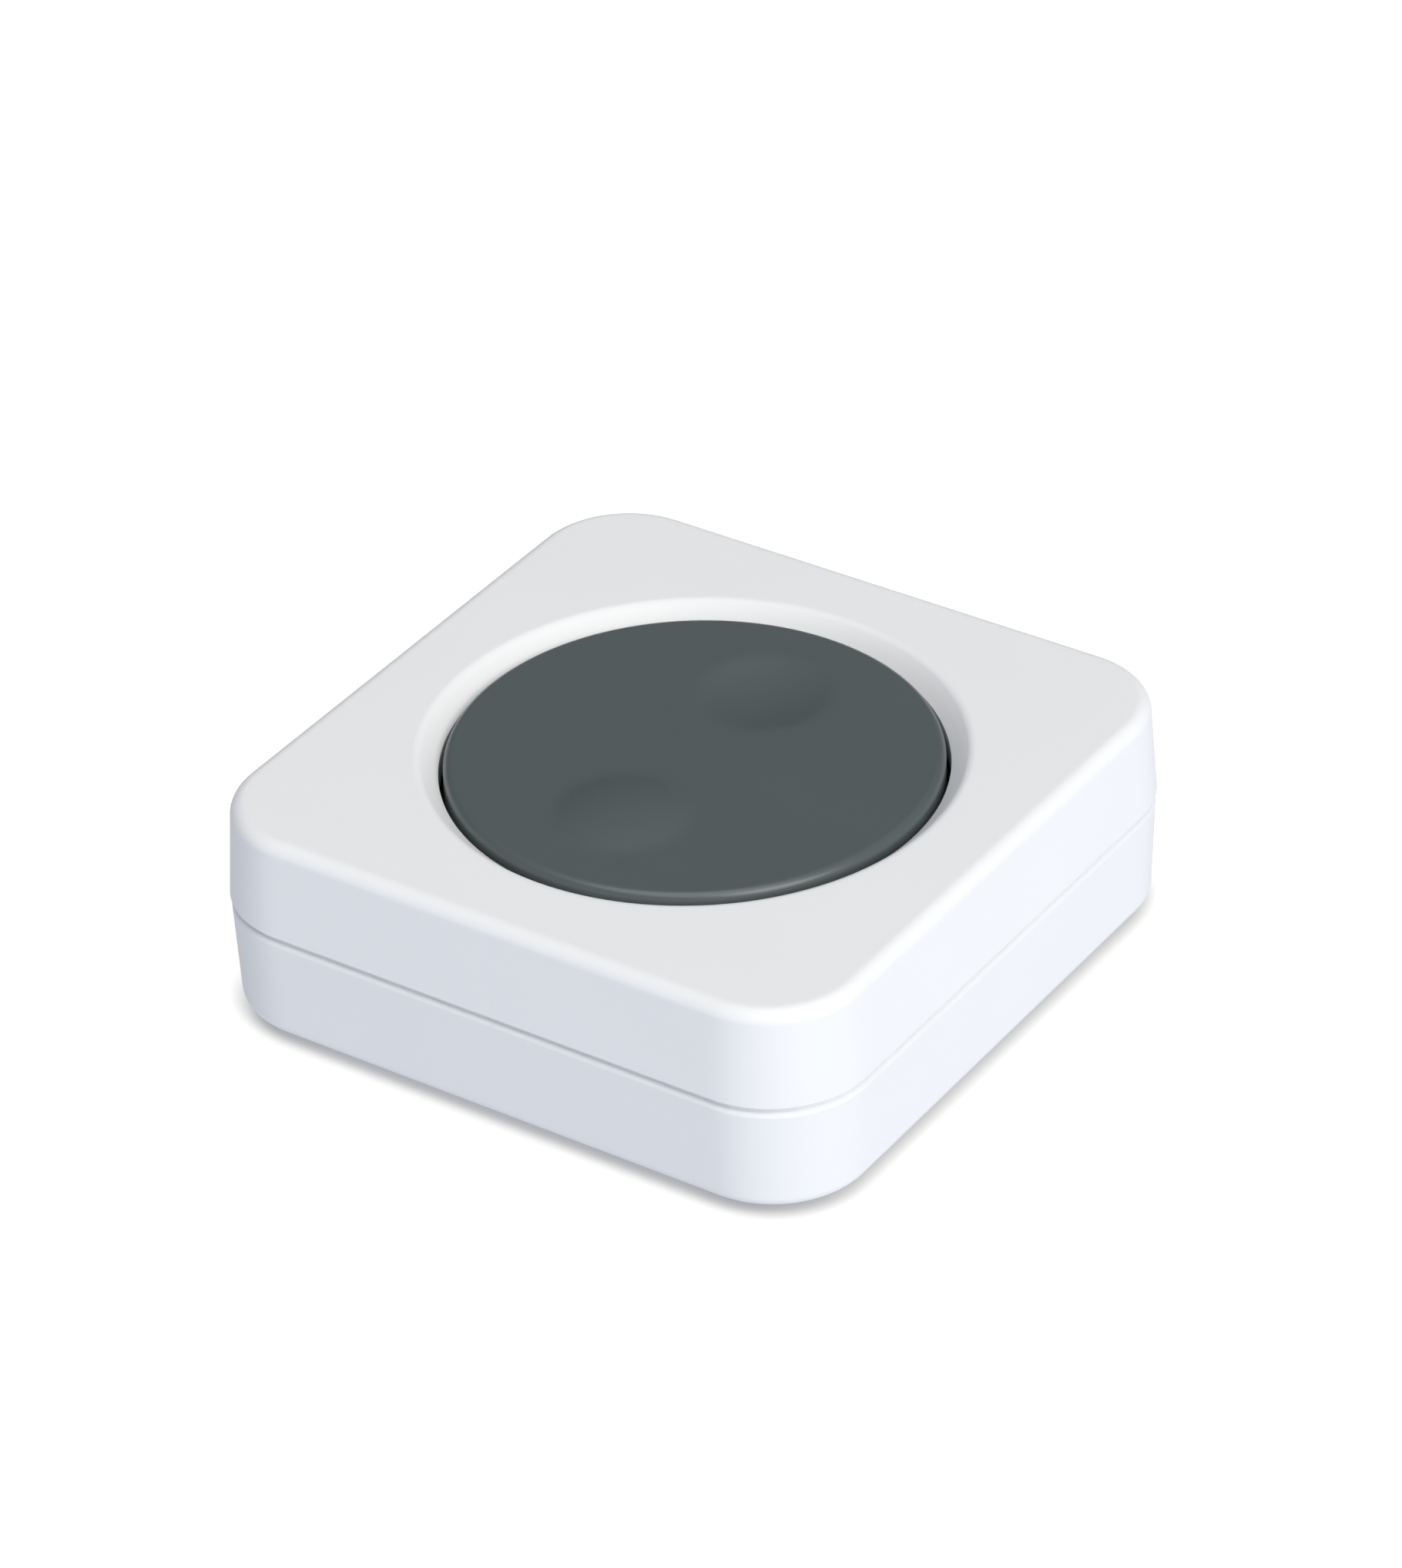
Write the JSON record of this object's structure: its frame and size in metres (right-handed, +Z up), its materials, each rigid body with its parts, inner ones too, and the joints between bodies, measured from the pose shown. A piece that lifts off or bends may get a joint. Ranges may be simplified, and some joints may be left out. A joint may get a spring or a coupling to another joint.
{
  "type": "smart button",
  "caption": "Square smart button with rounded corners: a two-part white case and a dark round disc that rocks on pins over switches, with a coin-turned battery door below.",
  "frame": {"origin": "middle of the face that the four feet rest on", "axes": "+Z up through the disc, X along the disc's tilt axis, -Y towards the raised touch mark"},
  "size_m": [0.06, 0.06, 0.02],
  "materials": {
    "white_case": "fine satin moulded white plastic",
    "dark_disc": "satin moulded dark grey plastic",
    "black_plastic": "matte moulded black plastic",
    "steel": "satin sheet steel",
    "screw_steel": "plated screw steel",
    "board": "green solder mask",
    "ceramic_white": "white ceramic",
    "ceramic_tan": "tan ceramic with tinned ends",
    "cell_steel": "nickel-plated steel",
    "cell_cap": "nickel-plated steel",
    "contact_gold": "gold-plated spring sheet",
    "foot_rubber": "soft grey rubber"
  },
  "bodies": {
    "housing": {"top_cover": "white_case", "base_shell": "white_case", "rocker_frame": "black_plastic", "frame_screws": "screw_steel", "circuit_board": "board", "board_screws": "screw_steel", "switch_housings": "black_plastic", "switch_covers": "steel", "switch_domes": "steel", "switch_terminals": "steel", "radio_module": "board", "shield_can": "steel", "chip_antenna": "ceramic_white", "power_chip": "black_plastic", "clock_crystal": "steel", "chip_capacitors": "ceramic_tan", "coin_cell_can": "cell_steel", "coin_cell_seal": "black_plastic", "coin_cell_cap": "cell_cap", "positive_contact": "contact_gold", "negative_contact": "contact_gold", "case_screws": "screw_steel", "rubber_feet": "foot_rubber"},
    "rocker": {"rocker_disc": "dark_disc", "pivot_pins": "steel"},
    "front_switch_plunger": {"front_plunger": "black_plastic"},
    "rear_switch_plunger": {"rear_plunger": "black_plastic"},
    "door": {"battery_door": "white_case"}
  },
  "joints": [
    {"name": "rocker_tilt", "type": "hinge", "parent": "housing", "child": "rocker", "pos_m": [0, 0, 0.01595], "axis": [1, 0, 0], "range_deg": [-1.5, 1.5], "stiffness_Nm_per_rad": 0.4},
    {"name": "front_press", "type": "slide", "parent": "housing", "child": "front_switch_plunger", "axis": [0, 0, 1], "range_m": [-0.0003, 0.0003]},
    {"name": "rear_press", "type": "slide", "parent": "housing", "child": "rear_switch_plunger", "axis": [0, 0, 1], "range_m": [-0.0003, 0.0003]},
    {"name": "door_turn", "type": "hinge", "parent": "housing", "child": "door", "pos_m": [0, 0, 0.0022], "axis": [0, 0, -1], "range_deg": [0, 30]}
  ],
  "couplings": [
    {"joint": "front_press", "follows": "rocker_tilt", "m_per_rad": -0.0105},
    {"joint": "rear_press", "follows": "rocker_tilt", "m_per_rad": 0.0105}
  ]
}
